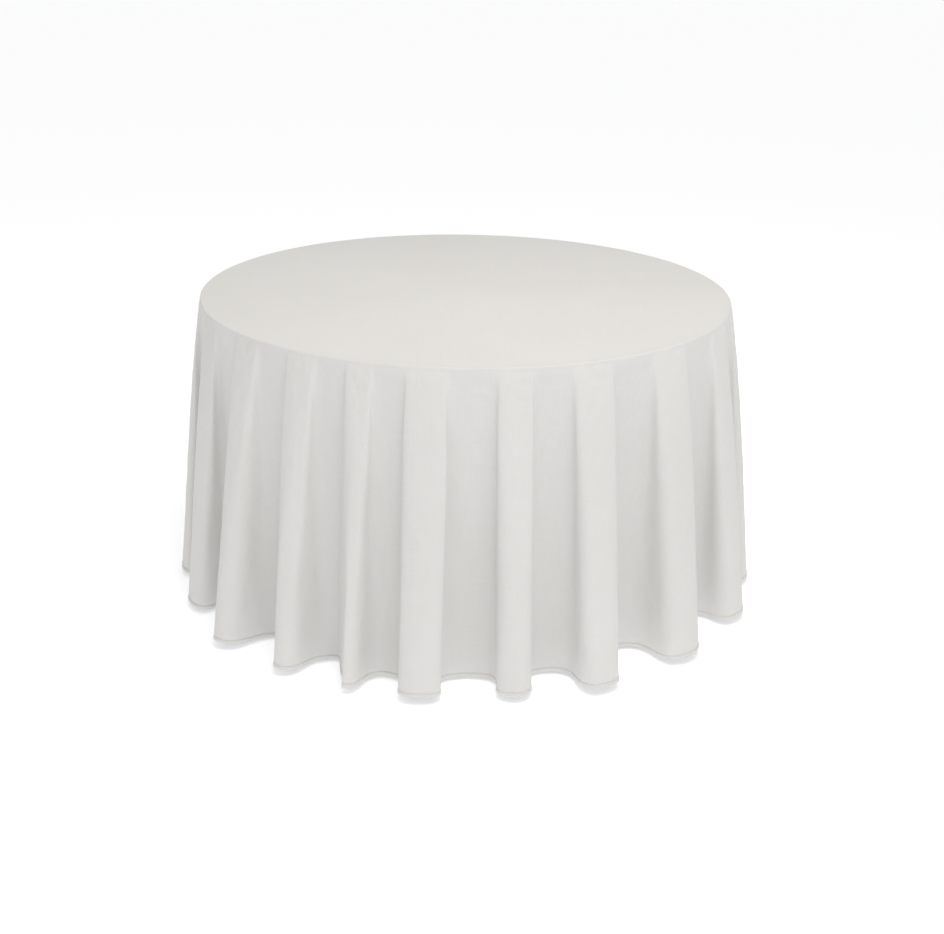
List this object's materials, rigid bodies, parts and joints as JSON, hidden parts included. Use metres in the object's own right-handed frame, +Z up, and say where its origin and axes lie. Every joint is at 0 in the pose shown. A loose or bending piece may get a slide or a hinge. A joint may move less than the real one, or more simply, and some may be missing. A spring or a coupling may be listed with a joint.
{
  "type": "tablecloth on table",
  "caption": "Floor-length round white tablecloth hanging in deep vertical folds over a round folding table with two folding leg frames.",
  "frame": {"origin": "on the floor under the centre of the round table", "axes": "+Z up, -Y the front seen first, +X to the right along the line between the two leg frames"},
  "size_m": [1.6201, 1.6232, 0.7643],
  "materials": {
    "cloth": "plain weave polyester, matt",
    "plywood": "varnished plywood",
    "vinyl_edge": "moulded vinyl",
    "wood_rail": "planed softwood",
    "tube_paint": "hammered powder coat",
    "zinc": "zinc plated",
    "rubber": "moulded"
  },
  "bodies": {
    "tabletop": {"table_top": "plywood", "edge_moulding": "vinyl_edge", "rail_front": "wood_rail", "rail_back": "wood_rail", "bracket_screws": "zinc", "rail_screws": "zinc", "right_front_bracket": "zinc", "right_back_bracket": "zinc", "right_brace_anchor": "zinc", "right_brace_pin": "zinc", "left_front_bracket": "zinc", "left_back_bracket": "zinc", "left_brace_anchor": "zinc", "left_brace_pin": "zinc"},
    "cloth": {"tablecloth": "cloth"},
    "right_leg_frame": {"right_pivot_tube": "tube_paint", "right_front_leg": "tube_paint", "right_back_leg": "tube_paint", "right_upper_crossbar": "tube_paint", "right_lower_crossbar": "tube_paint", "right_front_glide": "rubber", "right_back_glide": "rubber"},
    "right_upper_brace": {"right_upper_link": "zinc", "right_knuckle_rivet": "zinc"},
    "right_lower_brace": {"right_lower_link": "zinc"},
    "left_leg_frame": {"left_pivot_tube": "tube_paint", "left_front_leg": "tube_paint", "left_back_leg": "tube_paint", "left_upper_crossbar": "tube_paint", "left_lower_crossbar": "tube_paint", "left_front_glide": "rubber", "left_back_glide": "rubber"},
    "left_upper_brace": {"left_upper_link": "zinc", "left_knuckle_rivet": "zinc"},
    "left_lower_brace": {"left_lower_link": "zinc"}
  },
  "joints": [
    {"name": "cloth_lift", "type": "slide", "parent": "tabletop", "child": "cloth", "axis": [0, 0, 1], "range_m": [0, 0.8]},
    {"name": "right_legs_fold", "type": "hinge", "parent": "tabletop", "child": "right_leg_frame", "pos_m": [0.43, 0, 0.721], "axis": [0, 1, 0], "range_deg": [0, 95]},
    {"name": "right_upper_brace_turn", "type": "hinge", "parent": "tabletop", "child": "right_upper_brace", "pos_m": [0.28, 0, 0.721], "axis": [0, 1, 0], "range_deg": [-48.7, 0.1]},
    {"name": "right_lower_brace_turn", "type": "hinge", "parent": "right_leg_frame", "child": "right_lower_brace", "pos_m": [0.44656, 0, 0.53172], "axis": [0, 1, 0], "range_deg": [-0.1, 36.5]},
    {"name": "left_legs_fold", "type": "hinge", "parent": "tabletop", "child": "left_leg_frame", "pos_m": [-0.43, 0, 0.685], "axis": [0, -1, 0], "range_deg": [0, 95]},
    {"name": "left_upper_brace_turn", "type": "hinge", "parent": "tabletop", "child": "left_upper_brace", "pos_m": [-0.28, 0, 0.685], "axis": [0, -1, 0], "range_deg": [-48.7, 0.1]},
    {"name": "left_lower_brace_turn", "type": "hinge", "parent": "left_leg_frame", "child": "left_lower_brace", "pos_m": [-0.44656, 0, 0.49572], "axis": [0, -1, 0], "range_deg": [-0.1, 36.5]}
  ],
  "couplings": [
    {"joint": "right_upper_brace_turn", "follows": "right_legs_fold", "ratio": -0.51214},
    {"joint": "right_lower_brace_turn", "follows": "right_legs_fold", "ratio": 0.3826},
    {"joint": "left_upper_brace_turn", "follows": "left_legs_fold", "ratio": -0.51214},
    {"joint": "left_lower_brace_turn", "follows": "left_legs_fold", "ratio": 0.3826}
  ]
}
